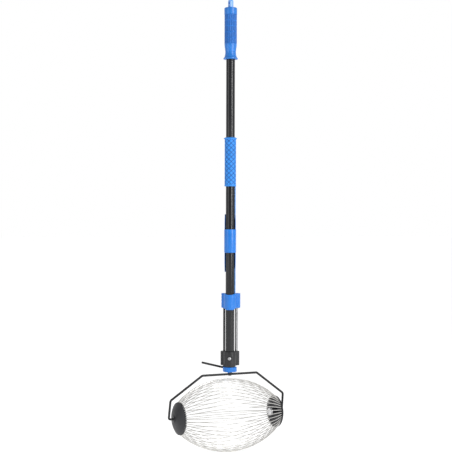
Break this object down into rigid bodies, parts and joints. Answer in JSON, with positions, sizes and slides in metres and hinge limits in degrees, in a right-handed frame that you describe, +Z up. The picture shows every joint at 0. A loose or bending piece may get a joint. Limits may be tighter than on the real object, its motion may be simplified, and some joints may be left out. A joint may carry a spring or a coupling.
{
  "type": "rolling nut gatherer",
  "caption": "Long-handled rolling nut gatherer: an ellipsoidal springy wire cage turning on a bent bail, with a sliding grip that drives a bent arm down between the wires to let the nuts out.",
  "frame": {"origin": "on the ground, below the middle of the cage", "axes": "+Z up along the pole, +X along the cage's axle, +Y the way the cage rolls; the clamp, the bracket and the coupler face -Y turned 31 degrees towards -X"},
  "size_m": [0.35, 0.197, 1.2234],
  "materials": {
    "cage_wire": "bright zinc-plated spring wire",
    "cap_plastic": "satin black moulded plastic",
    "bush_plastic": "dark moulded nylon",
    "fastener_steel": "zinc-plated steel",
    "guide_rod_steel": "drawn bright steel rod",
    "insert_metal": "mill finish",
    "pole_paint": "semi-gloss black powder coat",
    "dark_wire": "black coated steel wire",
    "bracket_plastic": "satin black moulded plastic",
    "grip_plastic": "textured blue grip",
    "blue_plastic": "smooth blue moulded plastic"
  },
  "bodies": {
    "root": {"pole_lower_tube": "pole_paint", "pole_joint_insert": "insert_metal", "pole_upper_tube": "pole_paint", "top_handle": "grip_plastic", "handle_end_cap": "blue_plastic", "bracket": "bracket_plastic", "head_bolt": "fastener_steel", "head_bolt_washer": "fastener_steel", "head_bolt_nut": "fastener_steel", "guide_rod": "guide_rod_steel", "neck": "blue_plastic", "bail": "dark_wire", "axle_washer_left": "fastener_steel", "axle_washer_right": "fastener_steel", "axle_nut_left": "fastener_steel", "axle_nut_right": "fastener_steel"},
    "release_slide": {"mid_grip": "grip_plastic", "upper_spine_bar": "blue_plastic", "coupler": "blue_plastic", "lower_spine_bar": "blue_plastic", "clamp": "blue_plastic", "push_rod": "dark_wire", "link_screw_clamp": "fastener_steel", "link_screw_coupler_lower": "fastener_steel", "link_screw_coupler_upper": "fastener_steel", "link_screw_grip": "fastener_steel"},
    "cage": {"cage_wire_pair_01": "cage_wire", "cage_wire_pair_02": "cage_wire", "cage_wire_pair_03": "cage_wire", "cage_wire_pair_04": "cage_wire", "cage_wire_pair_05": "cage_wire", "cage_wire_pair_06": "cage_wire", "cage_wire_pair_07": "cage_wire", "cage_wire_pair_08": "cage_wire", "cage_wire_pair_09": "cage_wire", "cage_wire_pair_10": "cage_wire", "cage_wire_pair_11": "cage_wire", "cage_wire_pair_12": "cage_wire", "cage_wire_pair_13": "cage_wire", "cage_wire_pair_14": "cage_wire", "cage_wire_pair_15": "cage_wire", "cage_wire_pair_16": "cage_wire", "cage_wire_pair_17": "cage_wire", "cage_wire_pair_18": "cage_wire", "cage_wire_pair_19": "cage_wire", "cage_wire_pair_20": "cage_wire", "cage_wire_pair_21": "cage_wire", "cage_wire_pair_22": "cage_wire", "cage_wire_pair_23": "cage_wire", "cage_wire_pair_24": "cage_wire", "end_cap_left": "cap_plastic", "end_cap_right": "cap_plastic", "wire_plate_left": "cap_plastic", "wire_plate_right": "cap_plastic", "hub_bush_left": "bush_plastic", "hub_bush_right": "bush_plastic"}
  },
  "joints": [
    {"name": "release_travel", "type": "slide", "parent": "root", "child": "release_slide", "axis": [0, 0, -1], "range_m": [0, 0.109]},
    {"name": "cage_roll", "type": "hinge", "parent": "root", "child": "cage", "pos_m": [0.0043, 0, 0.09858], "axis": [1, 0, 0], "continuous": true}
  ]
}
